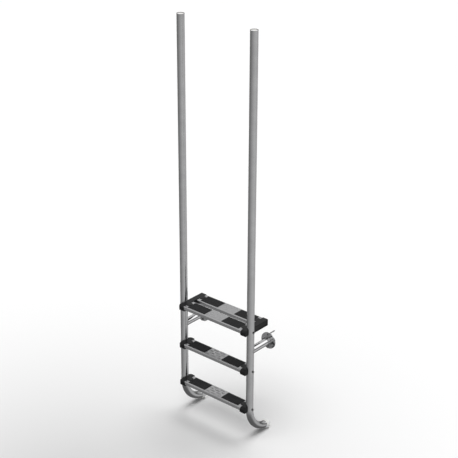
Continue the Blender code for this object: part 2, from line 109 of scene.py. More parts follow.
def colourRamp(tree, factor, stops):
    # stops are (position, colour) pairs, lowest position first
    ramp = addNode(tree, "ShaderNodeValToRGB", inputs={"Fac": factor})
    elements = ramp.color_ramp.elements
    while len(elements) < len(stops):
        elements.new(0.5)
    for element, (position, colour) in zip(elements, stops):
        element.position = position
        element.color = colour
    return ramp.outputs["Color"]


def mixColours(tree, factor, first, second):
    node = addNode(tree, "ShaderNodeMix", {"data_type": "RGBA"}, {"Factor": factor, 6: first, 7: second})
    return node.outputs[2]


noiseSpan = (0.3, 0.7)  # nearly all values of the noise lie between these


def toneColour(tree, factor, colours):
    # the first hex colour where the noise is low, the second where it is high
    low, high = noiseSpan
    tone = colourRamp(tree, factor, [(low, greyColour(0.0)), (high, greyColour(1.0))])
    return mixColours(tree, tone, hexColour(colours[0]), hexColour(colours[1]))


def objectCoords(tree):
    return addNode(tree, "ShaderNodeTexCoord").outputs["Object"]


def storedMark(tree, name, socket="Fac"):
    # a value the mesh carries for each vertex
    return addNode(tree, "ShaderNodeAttribute", {"attribute_name": name}).outputs[socket]


def noiseFactor(tree, vector, sizeMm, detail=2.0, **extra):
    # noise with features of about the given size
    return addNode(tree, "ShaderNodeTexNoise", inputs={
        "Vector": vector, "Scale": 1000 / sizeMm, "Detail": detail, **extra}).outputs["Fac"]


def ringNoise(tree, distance, sizeMm, detail, **extra):
    # noise that changes along one distance only, so it draws rings
    return addNode(tree, "ShaderNodeTexNoise", {"noise_dimensions": "1D"}, {
        "W": distance, "Scale": 1000 / sizeMm, "Detail": detail, **extra}).outputs["Fac"]


def spreadRange(tree, factor, limits, span=noiseSpan):
    # carries the span of the factor to the two limits
    return addNode(tree, "ShaderNodeMapRange", inputs={
        "Value": factor, "From Min": span[0], "From Max": span[1],
        "To Min": limits[0], "To Max": limits[1]}).outputs["Result"]


def multiply(tree, first, second):
    return addNode(tree, "ShaderNodeMath", {"operation": "MULTIPLY"}, {0: first, 1: second}).outputs[0]


def bumpNormal(tree, height, strength, distance):
    return addNode(tree, "ShaderNodeBump", inputs={
        "Height": height, "Strength": strength, "Distance": distance}).outputs["Normal"]


def steelGroundTube():
    # 316 stainless tube, centreless belt ground: a soft bright sheen that runs along the
    # tube, with fine grinding rings round it and a slightly uneven, cloudy polish; the bore
    # is painted a darker grey, painted shade inside the tube
    v = dict(colours=("BDBDBE", "C9C9CA"), boreColour="8A8886", grainMm=0.9, cloudMm=60.0,
             rough=(0.12, 0.18), roughSpan=(0.1, 0.45), stretch=0.8, bump=0.5, grainHeight=0.00001)
    material, tree, shader = newMaterial("stainlessGroundTube")
    grain = ringNoise(tree, storedMark(tree, "travel"), v["grainMm"], 3.0, Roughness=0.6)
    cloud = noiseFactor(tree, objectCoords(tree), v["cloudMm"], 4.0)
    steel = toneColour(tree, cloud, v["colours"])
    setInputs(tree, shader, {
        "Metallic": 1.0, "Anisotropic": v["stretch"],
        "Tangent": storedMark(tree, "along", "Vector"),  # rings scatter the light along the tube
        # the bore's darker grey is painted shade inside the tube
        "Base Color": mixColours(tree, storedMark(tree, "bore"), steel, hexColour(v["boreColour"])),
        "Roughness": spreadRange(tree, multiply(tree, grain, cloud), v["rough"], v["roughSpan"]),
        "Normal": bumpNormal(tree, grain, v["bump"], v["grainHeight"])})
    return material


def steelBrushedSheet():
    # 316 stainless sheet, brushed along the tread: light streaks that all run one way
    v = dict(colours=("B6B6B7", "D0D0D1"), streakMm=0.8, streakLengthMm=45.0, cloudMm=35.0,
             rough=(0.24, 0.33), bump=0.5, height=0.000012)
    material, tree, shader = newMaterial("stainlessBrushedSheet")
    coords = objectCoords(tree)
    across, along = 1000 / v["streakMm"], 1000 / v["streakLengthMm"]
    stretched = addNode(tree, "ShaderNodeMapping", inputs={
        "Vector": coords, "Scale": (along, across, across)}).outputs["Vector"]
    streaks = addNode(tree, "ShaderNodeTexNoise", inputs={
        "Vector": stretched, "Scale": 1.0, "Detail": 4.0, "Roughness": 0.65}).outputs["Fac"]
    cloud = noiseFactor(tree, coords, v["cloudMm"], 3.0)
    setInputs(tree, shader, {
        "Metallic": 1.0,
        "Base Color": toneColour(tree, streaks, v["colours"]),
        "Roughness": spreadRange(tree, cloud, v["rough"]),
        "Normal": bumpNormal(tree, streaks, v["bump"], v["height"])})
    return material


def steelMirror():
    # buffed stainless: near-mirror reflections with faint swirl haze left by the wheel
    v = dict(colours=("D2D2D3", "DADADB"), swirlMm=6.0, hazeMm=25.0, rough=(0.02, 0.05),
             swirlTwist=1.5, bump=0.2, height=0.00001)
    material, tree, shader = newMaterial("stainlessMirrorPolished")
    coords = objectCoords(tree)
    haze = noiseFactor(tree, coords, v["hazeMm"], 5.0)
    swirl = noiseFactor(tree, coords, v["swirlMm"], Distortion=v["swirlTwist"])
    setInputs(tree, shader, {
        "Metallic": 1.0,
        "Base Color": toneColour(tree, swirl, v["colours"]),
        "Roughness": spreadRange(tree, haze, v["rough"]),
        "Normal": bumpNormal(tree, swirl, v["bump"], v["height"])})
    return material


def steelSpunPlate():
    # turned and polished stainless plate: rings too fine to see stretch each reflection
    # outwards from the middle, so light and dark sectors fan round the disc
    v = dict(colours=("CFCFD0", "DCDCDD"), hazeMm=18.0, ringMm=1.2, rough=(0.1, 0.14), stretch=0.85)
    material, tree, shader = newMaterial("stainlessSpunPlate")
    haze = noiseFactor(tree, objectCoords(tree), v["hazeMm"], 4.0)
    rings = ringNoise(tree, storedMark(tree, "reach"), v["ringMm"], 2.0)
    setInputs(tree, shader, {
        "Metallic": 1.0, "Anisotropic": v["stretch"],
        "Tangent": storedMark(tree, "radial", "Vector"),
        "Base Color": toneColour(tree, rings, v["colours"]),
        "Roughness": spreadRange(tree, haze, v["rough"])})
    return material


def steelFastener():
    # cold-headed A4 stainless: duller than the tube, with small forging marks
    v = dict(colours=("9B9B9C", "B4B4B5"), markMm=2.5, rough=(0.22, 0.36), bump=0.3, height=0.00004)
    material, tree, shader = newMaterial("stainlessColdHeaded")
    marks = noiseFactor(tree, objectCoords(tree), v["markMm"], 4.0)
    setInputs(tree, shader, {
        "Metallic": 1.0,
        "Base Color": toneColour(tree, marks, v["colours"]),
        "Roughness": spreadRange(tree, marks, v["rough"]),
        "Normal": bumpNormal(tree, marks, v["bump"], v["height"])})
    return material


def steelWeld():
    # pickled TIG weld: greyer and rougher than the tube, with faint uneven spots
    v = dict(colours=("8C8A88", "ABABAA"), spotMm=4.0, rough=0.38, bump=0.4, height=0.0001)
    material, tree, shader = newMaterial("stainlessTigWeld")
    spots = noiseFactor(tree, objectCoords(tree), v["spotMm"], 5.0)
    setInputs(tree, shader, {
        "Metallic": 1.0, "Roughness": v["rough"],
        "Base Color": toneColour(tree, spots, v["colours"]),
        "Normal": bumpNormal(tree, spots, v["bump"], v["height"])})
    return material


def blackNylon():
    # injection-moulded PA6, spark-eroded mould: a low satin sheen over a fine grain
    v = dict(colours=("080809", "121213"), grainMm=0.7, wearMm=30.0, rough=(0.36, 0.48), gloss=0.3,
             index=1.53, bump=0.35, height=0.00006)
    material, tree, shader = newMaterial("nylonSparkTextured")
    coords = objectCoords(tree)
    grain = noiseFactor(tree, coords, v["grainMm"])
    wear = noiseFactor(tree, coords, v["wearMm"], 4.0)
    setInputs(tree, shader, {
        "IOR": v["index"], "Specular IOR Level": v["gloss"],  # the etched grain shades its own gloss
        "Base Color": toneColour(tree, wear, v["colours"]),
        "Roughness": spreadRange(tree, wear, v["rough"]),
        "Normal": bumpNormal(tree, grain, v["bump"], v["height"])})
    return material


def blackRubber():
    # moulded EPDM: nearly matt charcoal, rib crowns painted a shade greyer in patches, a painted
    # highlight on the ribs' tops
    v = dict(colours=("121213", "2C2C2D"), grainMm=0.5, dustMm=18.0, rough=(0.55, 0.7), gloss=0.3,
             index=1.52, bump=0.4, height=0.00005)
    material, tree, shader = newMaterial("rubberMouldedRibs")
    coords = objectCoords(tree)
    grain = noiseFactor(tree, coords, v["grainMm"])
    dust = noiseFactor(tree, coords, v["dustMm"], 5.0)
    # the greyer rib crowns are a painted highlight, in patches
    rubbed = multiply(tree, storedMark(tree, "crown"), dust)
    setInputs(tree, shader, {
        "IOR": v["index"], "Specular IOR Level": v["gloss"],  # bloom on the rubber dulls it
        "Base Color": mixColours(tree, rubbed, *[hexColour(c) for c in v["colours"]]),
        "Roughness": spreadRange(tree, dust, v["rough"]),
        "Normal": bumpNormal(tree, grain, v["bump"], v["height"])})
    return material


def whitePolyethylene():
    # moulded white polyethylene: bright, waxy and a little soft at its edges
    v = dict(colours=("F8F8F6", "FCFCFB"), grainMm=1.5, rough=0.33, index=1.51, bump=0.15,
             height=0.00005, glow=0.15, glowReach=(0.004, 0.004, 0.0035))
    material, tree, shader = newMaterial("polyethyleneMouldedWhite")
    grain = noiseFactor(tree, objectCoords(tree), v["grainMm"], 3.0)
    setInputs(tree, shader, {
        "IOR": v["index"], "Roughness": v["rough"],
        "Subsurface Weight": v["glow"], "Subsurface Radius": v["glowReach"],
        "Base Color": toneColour(tree, grain, v["colours"]),
        "Normal": bumpNormal(tree, grain, v["bump"], v["height"])})
    return material


tubeSteel = steelGroundTube()
sheetSteel = steelBrushedSheet()
mirrorSteel = steelMirror()
spunSteel = steelSpunPlate()
fastenerSteel = steelFastener()
weldSteel = steelWeld()
capNylon = blackNylon()
padRubber = blackRubber()
plugWhite = whitePolyethylene()
print("materials made")


def signedVolume(points, faces):
    # six times the volume under each triangle of a fan, summed: positive if faces point out
    total = 0.0
    for size in {len(f) for f in faces}:
        group = points[np.array([f for f in faces if len(f) == size])]
        for k in range(1, size - 1):
            cross = np.cross(group[:, k], group[:, k + 1])
            total += float(np.einsum("ij,ij->i", group[:, 0], cross).sum())
    return total


def addMarks(mesh, marks):
    # named values stored on the mesh, one number or one vector for each vertex
    for key, values in marks.items():
        isVector = values.ndim == 2
        attribute = mesh.attributes.new(key, "FLOAT_VECTOR" if isVector else "FLOAT", "POINT")
        flat = values.astype(np.float32).ravel()
        attribute.data.foreach_set("vector" if isVector else "value", flat)


def meshFrom(name, points, faces, marks=None):
    # points (n, 3) and faces of vertex numbers; marks are named values, one for each vertex
    if signedVolume(points - points.mean(axis=0), faces) < 0:
        faces = [face[::-1] for face in faces]
    mesh = bpy.data.meshes.new(name)
    mesh.from_pydata(points.tolist(), [], faces)
    addMarks(mesh, marks or {})
    mesh.validate()
    mesh.shade_smooth()
    mesh.set_sharp_from_angle(angle=math.radians(sharpDegrees))
    return mesh


def gridFaces(rows, cols, wrapRows=False, wrapCols=False):
    # quads between neighbouring rows and columns of a rows x cols grid of vertices
    i = np.arange(rows if wrapRows else rows - 1)[:, None]
    j = np.arange(cols if wrapCols else cols - 1)[None, :]
    nextI, nextJ = (i + 1) % rows, (j + 1) % cols
    corners = [i * cols + j, i * cols + nextJ, nextI * cols + nextJ, nextI * cols + j]
    quads = np.stack([np.broadcast_to(c, (i.size, j.size)) for c in corners], -1)
    return quads.reshape(-1, 4).tolist()


def ringStack(name, rings):
    # rings (rows, cols, 3), each a closed loop; both ends close in a fan on the ring's mean
    rows, cols = rings.shape[:2]
    faces = gridFaces(rows, cols, wrapCols=True)
    middles = [rings[0].mean(axis=0), rings[-1].mean(axis=0)]
    points = np.concatenate([rings.reshape(-1, 3), middles])
    j = np.arange(cols)
    nextJ = (j + 1) % cols
    first, last = rows * cols, (rows - 1) * cols
    faces += np.stack([nextJ, j, np.full(cols, first)], -1).tolist()
    faces += np.stack([last + j, last + nextJ, np.full(cols, first + 1)], -1).tolist()
    return meshFrom(name, points, faces)


def loopStack(name, loops, rowMarks=None):
    # loops (rows, cols, 3) closed both ways, like a tube with a bore; rowMarks are named
    # values, one for each row
    rows, cols = loops.shape[:2]
    marks = {key: np.repeat(values, cols, axis=0) for key, values in (rowMarks or {}).items()}
    return meshFrom(name, loops.reshape(-1, 3), gridFaces(rows, cols, True, True), marks)


def thinShell(name, rings, crown=None):
    # rings (rows, 2n, 3): an outer skin of n points and the inner skin back again; the two
    # end rings are closed by quads between facing points
    rows, cols = rings.shape[:2]
    faces = gridFaces(rows, cols, wrapCols=True)
    half = cols // 2
    k = np.arange(half - 1)
    for start, flip in ((0, False), ((rows - 1) * cols, True)):
        quads = np.stack([k, cols - 1 - k, cols - 2 - k, k + 1], -1) + start
        faces += (quads[:, ::-1] if flip else quads).tolist()
    marks = None if crown is None else {"crown": crown.reshape(-1)}
    return meshFrom(name, rings.reshape(-1, 3), faces, marks)


def axisFrame(direction):
    # two unit vectors square to the direction, so (across, up, direction) is right-handed
    direction = np.asarray(direction, float)
    direction = direction / np.linalg.norm(direction)
    helper = np.array([0.0, 0.0, 1.0]) if abs(direction[2]) < 0.9 else np.array([0.0, 1.0, 0.0])
    across = np.cross(helper, direction)
    across /= np.linalg.norm(across)
    return across, np.cross(direction, across), direction


def turnedRings(profile, origin, direction, sides):
    # profile (n, 2) of radius and height, carried round the axis: origin + h d + r (cos, sin)
    across, up, along = axisFrame(direction)
    angles = np.linspace(0, 2 * np.pi, sides, endpoint=False)
    spokes = np.cos(angles)[:, None] * across + np.sin(angles)[:, None] * up
    profile = np.asarray(profile, float)
    rings = profile[:, 0, None, None] * spokes[None] + profile[:, 1, None, None] * along
    return rings + np.asarray(origin, float)


def arcPoints(centre, radius, start, end, steps):
    # points of an arc in degrees, both ends included
    angles = np.radians(np.linspace(start, end, steps + 1))
    return np.stack([centre[0] + radius * np.cos(angles), centre[1] + radius * np.sin(angles)], -1)


def addPiece(name, mesh, material, body=ladderBody, replaced=()):
    # one visible piece: it rides on a body and may stand in for nodes of the frame
    mesh.materials.clear()
    mesh.materials.append(material)
    piece = bpy.data.objects.new(name, mesh)
    bpy.context.scene.collection.objects.link(piece)
    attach(piece, body)
    if replaced:
        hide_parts(*replaced)
    return piece


uprightValues = dict(wall=0.0015, bendStart=-0.382, bendRadius=0.168, bendAngle=78.0,
                     stub=0.003, lip=0.0005, sides=72, bendRings=56, plainRings=60)

lowRight, highRight = nodeBox("right_upright")
tubeRadius = float(highRight[0] - lowRight[0]) / 2
uprightX = float(highRight[0] + lowRight[0]) / 2
uprightY = float(lowRight[1]) + tubeRadius
uprightTop = float(highRight[2])


def uprightAxis():
    # plumb line from the top to the bend, an arc towards the wall with y = R (1 - cos t) and
    # z = start - R sin t, then a short straight
    v = uprightValues
    bend = math.radians(v["bendAngle"])
    plain = np.linspace(uprightTop, v["bendStart"], v["plainRings"], endpoint=False)
    angles = np.linspace(0, bend, v["bendRings"])
    ends = (v["stub"] * math.sin(bend), -v["stub"] * math.cos(bend))
    y = np.concatenate([np.zeros(len(plain)), v["bendRadius"] * (1 - np.cos(angles))])
    z = np.concatenate([plain, v["bendStart"] - v["bendRadius"] * np.sin(angles)])
    turn = np.concatenate([np.zeros(len(plain)), angles, [bend]])
    y = np.append(y, y[-1] + ends[0])
    z = np.append(z, z[-1] + ends[1])
    points = np.stack([np.zeros(len(y)), uprightY + y, z], -1)
    tangents = np.stack([np.zeros(len(y)), np.sin(turn), -np.cos(turn)], -1)
    return points, tangents


axisPoints, axisTangents = uprightAxis()
footEnd, footDirection = axisPoints[-1], axisTangents[-1]


def makeUpright(side):
    # rings, axis + r (cos a across + sin a outward): down at the outer radius, round the lip
    # and back up at the inner radius; the lips are small chamfers at both ends
    v = uprightValues
    inner = tubeRadius - v["wall"]
    lip = v["lip"]
    centres = np.concatenate([axisPoints, axisPoints[::-1]])
    tangents = np.concatenate([axisTangents, axisTangents[::-1]])
    count = len(axisPoints)
    radii = np.concatenate([np.full(count, tubeRadius), np.full(count, inner)])
    radii[[0, count - 1]] -= lip
    radii[[count, -1]] += lip
    places = [1, count - 1, count + 1, 2 * count - 1]
    ends = [0, count - 1, count, -1]
    inwards = np.array([lip, -lip, -lip, lip])[:, None]
    centres = np.insert(centres, places, centres[ends] + inwards * tangents[ends], axis=0)
    tangents = np.insert(tangents, places, tangents[ends], axis=0)
    radii = np.insert(radii, places, [tubeRadius, tubeRadius, inner, inner])
    angles = np.linspace(0, 2 * np.pi, v["sides"], endpoint=False)
    outward = np.cross(tangents, [1.0, 0.0, 0.0])
    spokes = (np.cos(angles)[None, :, None] * np.array([1.0, 0.0, 0.0])
              + np.sin(angles)[None, :, None] * outward[:, None, :])
    loops = centres[:, None, :] + radii[:, None, None] * spokes
    loops[..., 0] += sideSigns[side] * uprightX
    steps = np.linalg.norm(np.diff(centres, axis=0), axis=1)
    travel = np.concatenate([[0.0], np.cumsum(steps)])
    bore = (radii <= inner + lip).astype(float)
    name = f"{side}_upright"
    mesh = loopStack(f"{name}_tube", loops, {"travel": travel, "bore": bore, "along": tangents})
    return addPiece(f"{name}_tube", mesh, tubeSteel, replaced=[name])


for side in sideSigns:
    makeUpright(side)
print("uprights made")


topPlugValues = dict(gap=0.0002, round=0.0032, depth=0.02, lift=0.002, dome=0.001, domeRings=12,
                     edgeAngle=85, edgeSteps=6, sides=72)
bumperValues = dict(radius=0.027, centre=0.017, start=0.0003, stubRadius=0.0192, stubLength=0.012,
                    stubStart=0.002, stubEdge=0.001, poleAngle=89.5, ballRings=56, sides=96)


def makeTopPlug(side):
    # a disc turned about the tube's axis: top z = face + dome (1 - (r / R)^2), rounded edge
    v = topPlugValues
    face = float(nodeBox(f"{side}_top_plug")[1][2]) + v["lift"]
    radius = tubeRadius - uprightValues["wall"] - v["gap"]
    reaches = np.linspace(pinRadius, radius - v["round"], v["domeRings"])
    dome = [(r, face + v["dome"] * (1 - (r / radius) ** 2)) for r in reaches]
    centre = (radius - v["round"], face - v["round"])
    edge = arcPoints(centre, v["round"], v["edgeAngle"], 0, v["edgeSteps"])
    profile = np.concatenate([dome, edge, [(radius, face - v["lift"] - v["depth"])]])
    rings = turnedRings(profile, (sideSigns[side] * uprightX, uprightY, 0), (0, 0, 1), v["sides"])
    name = f"{side}_top_plug"
    addPiece(f"{name}_disc", ringStack(f"{name}_disc", rings), plugWhite,
             replaced=[name])


def makeBumper(side):
    # a stub and a ball, r^2 + (h - centre)^2 = R^2, turned about the foot's axis and pressed
    # flat on the wall plane: no y above 0
    v = bumperValues
    edge = v["stubEdge"]
    stub = [(v["stubStart"], -v["stubLength"]), (v["stubRadius"] - edge, -v["stubLength"]),
            (v["stubRadius"], -v["stubLength"] + edge), (v["stubRadius"], v["start"])]
    low = math.degrees(math.asin((v["start"] - v["centre"]) / v["radius"]))
    ball = arcPoints((0, v["centre"]), v["radius"], low, v["poleAngle"], v["ballRings"])
    profile = np.concatenate([stub, ball])
    origin = footEnd + np.array([sideSigns[side] * uprightX, 0, 0])
    rings = turnedRings(profile, origin, footDirection, v["sides"])
    rings[..., 1] = np.minimum(rings[..., 1], 0.0)
    name = f"{side}_wall_bumper"
    addPiece(f"{name}_ball", ringStack(f"{name}_ball", rings), plugWhite,
             replaced=[name])


for side in sideSigns:
    makeTopPlug(side)
    makeBumper(side)
print("plugs and bumpers made")


standoffValues = dict(sides=96, rings=12)
weldValues = dict(radius=0.0016, ripples=84, share=0.13, power=0.6, samples=8, sides=14)
flangeValues = dict(edge=0.0012, edgeSteps=3, holeRadius=0.0045, sides=128, holeSides=40, merge=0.00001)
screwValues = dict(shank=0.0037, core=0.0028, pitch=0.0026, tip=0.009, length=0.063, flange=0.0078,
                   flangeHeight=0.0014, flats=0.0126, height=0.0058, sides=96, plainShank=0.008,
                   threadRings=8, tipLeast=0.03, tipPower=0.8, threadPower=0.7, edge=0.0003,
                   underHead=0.0002, sideStart=0.0001, crownShare=0.95, dishShare=0.8,
                   chamfer=28.0, gap=0.0003)
flangeLow, flangeHigh = nodeBox("right_wall_flange")
flangeRadius = float(flangeHigh[0] - flangeLow[0]) / 2
flangeFront = float(flangeLow[1])
flangeBack = float(flangeHigh[1])


def saddleY(x, radius):
    # how far back the upright's surface is at each x off its axis: y = sqrt(R^2 - x^2)
    return uprightY + np.sqrt(np.maximum(radius ** 2 - x ** 2, 0.0))


def makeStandoff(side):
    # x = R cos a, z = R sin a, y from the saddle on the upright to the flange; then the same
    # back inside the bore
    v = standoffValues
    inner = tubeRadius - uprightValues["wall"]
    angles = np.linspace(0, 2 * np.pi, v["sides"], endpoint=False)
    share = np.linspace(0, 1, v["rings"])[:, None]
    skins = []
    for radius, order in ((tubeRadius, share), (inner, share[::-1])):
        x = radius * np.cos(angles)[None, :]
        z = radius * np.sin(angles)[None, :]
        start = saddleY(x, tubeRadius)
        y = start + (flangeFront - start) * order
        skins.append(np.stack(np.broadcast_arrays(x, y, z), -1))
    loops = np.concatenate(skins)
    loops = loops + np.array([sideSigns[side] * uprightX, 0, 0])
    name = f"{side}_standoff_tube"
    addPiece(f"{name}_coped", loopStack(f"{name}_coped", loops), mirrorSteel,
             replaced=[name])


def beadAlong(name, path, outward):
    # a round bead carried along a closed path, its radius rippling like stacked weld puddles:
    # r = R (1 - share + share |sin(ripples a / 2)|^power)
    v = weldValues
    count = len(path)
    tangent = np.roll(path, -1, axis=0) - np.roll(path, 1, axis=0)
    tangent /= np.linalg.norm(tangent, axis=1)[:, None]
    normal = outward - (outward * tangent).sum(axis=1)[:, None] * tangent
    normal /= np.linalg.norm(normal, axis=1)[:, None]
    other = np.cross(tangent, normal)
    phase = np.linspace(0, 2 * np.pi, count, endpoint=False)
    wave = np.abs(np.sin(phase * v["ripples"] / 2)) ** v["power"]
    size = v["radius"] * (1 - v["share"] + v["share"] * wave)
    around = np.linspace(0, 2 * np.pi, v["sides"], endpoint=False)
    spokes = (np.cos(around)[None, :, None] * normal[:, None, :]
              + np.sin(around)[None, :, None] * other[:, None, :])
    return loopStack(name, path[:, None, :] + size[:, None, None] * spokes)


def makeWelds(side):
    # a bead round each end of the stand-off: on the saddle curve and in a circle on the flange
    count = weldValues["ripples"] * weldValues["samples"]
    angles = np.linspace(0, 2 * np.pi, count, endpoint=False)
    spokes = np.stack([np.cos(angles), np.zeros(count), np.sin(angles)], -1)
    x = tubeRadius * np.cos(angles)
    shift = np.array([sideSigns[side] * uprightX, 0, 0])
    saddle = np.stack([x, saddleY(x, tubeRadius), tubeRadius * np.sin(angles)], -1)
    circle = tubeRadius * spokes + np.array([0, flangeFront, 0])
    for name, path in ((f"{side}_saddle_weld", saddle), (f"{side}_flange_weld", circle)):
        addPiece(name, beadAlong(name, path + shift, spokes), weldSteel)


def screwZ(side, level):
    low, high = nodeBox(f"{side}_{level}_wall_screw")
    return float(low[2] + high[2]) / 2


def makeFlange(side):
    # a filled outline with two holes, given thickness and a rounded edge by the curve's bevel
    v = flangeValues
    curve = bpy.data.curves.new(f"{side}_flange_outline", "CURVE")
    curve.dimensions = "2D"
    curve.fill_mode = "BOTH"
    thickness = flangeBack - flangeFront
    curve.extrude = thickness / 2 - v["edge"]
    curve.bevel_depth = v["edge"]
    curve.bevel_resolution = v["edgeSteps"]
    circles = [(0.0, flangeRadius - v["edge"], v["sides"])]
    for level in wallLevels:
        circles.append((screwZ(side, level), v["holeRadius"] + v["edge"], v["holeSides"]))
    for height, radius, count in circles:
        spline = curve.splines.new("POLY")
        spline.points.add(count - 1)
        angles = np.linspace(0, 2 * np.pi, count, endpoint=False)
        flat = np.stack([radius * np.cos(angles), height + radius * np.sin(angles),
                         np.zeros(count), np.ones(count)], -1)
        spline.points.foreach_set("co", flat.ravel())
        spline.use_cyclic_u = True
    holder = bpy.data.objects.new(f"{side}_flange_outline", curve)
    bpy.context.scene.collection.objects.link(holder)
    bpy.context.view_layer.update()
    solved = holder.evaluated_get(bpy.context.evaluated_depsgraph_get())
    mesh = bpy.data.meshes.new_from_object(solved)
    bpy.data.objects.remove(holder)
    middle = (flangeFront + flangeBack) / 2
    place = Matrix.Translation((sideSigns[side] * uprightX, middle, 0))
    mesh.transform(place @ Matrix.Rotation(math.pi / 2, 4, "X"))
    bm = bmesh.new()
    bm.from_mesh(mesh)
    bmesh.ops.remove_doubles(bm, verts=bm.verts, dist=v["merge"])
    bmesh.ops.recalc_face_normals(bm, faces=bm.faces)
    bm.to_mesh(mesh)
    bm.free()
    mesh.shade_smooth()
    mesh.set_sharp_from_angle(angle=math.radians(sharpDegrees))
    corners = np.empty(len(mesh.vertices) * 3)
    mesh.vertices.foreach_get("co", corners)
    spoke = corners.reshape(-1, 3) - np.array([sideSigns[side] * uprightX, 0, 0])
    spoke[:, 1] = 0
    reach = np.linalg.norm(spoke, axis=1)
    addMarks(mesh, {"reach": reach, "radial": spoke / np.maximum(reach, 1e-6)[:, None]})
    name = f"{side}_wall_flange"
    addPiece(f"{name}_plate", mesh, spunSteel, replaced=[name])


def hexRadius(angles, flats):
    # distance from the centre to a hexagon's side at each angle
    turned = np.mod(angles + np.pi / 6, np.pi / 3) - np.pi / 6
    return flats / 2 / np.cos(turned)


def makeScrew(side, level):
    # rings from the point up a threaded shank, r = core + depth wave(h / pitch - a / 2 pi), over
    # the head's round flange, up the six sides and over their chamfer to the top
    v = screwValues
    cols = v["sides"]
    angles = np.linspace(0, 2 * np.pi, cols, endpoint=False)
    threadTop = -v["plainShank"]
    heights = np.arange(-v["length"], threadTop, v["pitch"] / v["threadRings"])
    taper = np.clip((heights + v["length"]) / v["tip"], v["tipLeast"], 1.0) ** v["tipPower"]
    fade = np.clip((threadTop - heights) / (2 * v["pitch"]), 0.0, 1.0)
    turnShare = heights[:, None] / v["pitch"] - angles[None, :] / (2 * np.pi)
    wave = 1 - np.abs(np.mod(turnShare, 1.0) * 2 - 1) ** v["threadPower"]
    core = v["core"] + (v["shank"] - v["core"]) * (1 - fade)[:, None]
    radius = (core + (v["shank"] - core) * wave) * taper[:, None]
    rows = [(radius[k], np.full(cols, heights[k])) for k in range(len(heights))]
    ones = np.ones(cols)
    hexagon = hexRadius(angles, v["flats"])
    top = v["height"]
    edge = v["edge"]
    crownRadius = v["flats"] / 2 * v["crownShare"]
    sideTop = top - np.maximum(hexagon - crownRadius, 0) * math.tan(math.radians(v["chamfer"]))
    for r, h in ((v["shank"], threadTop), (v["shank"], -v["underHead"]), (v["flange"] - edge, 0.0),
                 (v["flange"], edge), (v["flange"], v["flangeHeight"] - edge),
                 (v["flange"] - edge, v["flangeHeight"])):
        rows.append((r * ones, h * ones))
    rows.append((hexagon, v["flangeHeight"] * ones + v["sideStart"]))
    rows.append((hexagon, sideTop))
    rows.append((np.minimum(hexagon, crownRadius), top * ones))
    rows.append((crownRadius * v["dishShare"] * ones, top * ones))
    rows.append((pinRadius * ones, (top - edge) * ones))
    radii = np.stack([r for r, _ in rows])
    lift = np.stack([h for _, h in rows])
    x = sideSigns[side] * uprightX + radii * np.cos(angles)
    z = screwZ(side, level) + radii * np.sin(angles)
    y = flangeFront - v["gap"] - lift
    name = f"{side}_{level}_wall_screw"
    mesh = ringStack(f"{name}_threaded", np.stack([x, y, z], -1))
    addPiece(f"{name}_threaded", mesh, fastenerSteel, f"{name}_body", [name])


for side in sideSigns:
    makeStandoff(side)
    makeWelds(side)
    makeFlange(side)
    for level in wallLevels:
        makeScrew(side, level)
print("wall fixings made")


plankValues = dict(sheet=0.0015, bend=0.006, lip=0.008, lipBend=0.003, leastBend=0.0004,
                   arcSteps=8, flatSteps=112, topShare=0.6)
barValues = dict(lines=[-0.027, -0.009, 0.009, 0.027], halfWidth=0.0062, height=0.0019,
                 pitch=0.048, halfLength=0.02, fade=0.005, reach=0.056, rings=113)
padValues = dict(ribs=12, base=0.0014, height=0.0011, endRound=0.0022, endRings=7, samples=10,
                 rows=30, inset=0.0006, shoulder=0.0005, swell=1.9, groove=0.35, endLeast=0.12,
                 sink=0.0002)


def channelSkin(offset, half, height):
    # section of the channel in (y, z), offset inwards: lip, lower bend, side, upper bend, top
    v = plankValues
    lower = max(v["lipBend"] - offset, v["leastBend"])
    upper = max(v["bend"] - offset, v["leastBend"])
    left = np.concatenate([
        [(-half + v["lip"], -height + offset)],
        arcPoints((-half + v["lipBend"], v["lipBend"] - height), lower, 270, 180, v["arcSteps"]),
        arcPoints((-half + v["bend"], -v["bend"]), upper, 180, 90, v["arcSteps"])])
    flat = np.linspace(-half + v["bend"], half - v["bend"], v["flatSteps"] + 1)[1:-1]
    top = np.stack([flat, np.full(len(flat), -offset)], -1)
    return np.concatenate([left, top, left[::-1] * np.array([-1.0, 1.0])])


def barLift(x, y):
    # rows of short rounded bars pressed up in the bare middle, every second row half a
    # pitch along: h cos^2 across each bar times a smooth fall at its ends
    v = barValues
    lines = np.array(v["lines"])
    gap = np.abs(y[None, :] - lines[:, None])
    nearest = np.argmin(gap, axis=0)
    across = np.cos(np.clip(gap.min(axis=0) / v["halfWidth"], 0, 1) * np.pi / 2) ** 2
    along = x[:, None] - 0.5 * v["pitch"] * (nearest % 2)[None, :]
    away = np.abs(along - v["pitch"] * np.round(along / v["pitch"]))
    share = np.clip((v["halfLength"] - away) / v["fade"], 0, 1)
    edge = np.clip((v["reach"] - np.abs(x)) / v["fade"], 0, 1)[:, None]
    share = share * edge
    return v["height"] * share * share * (3 - 2 * share) * across[None, :]


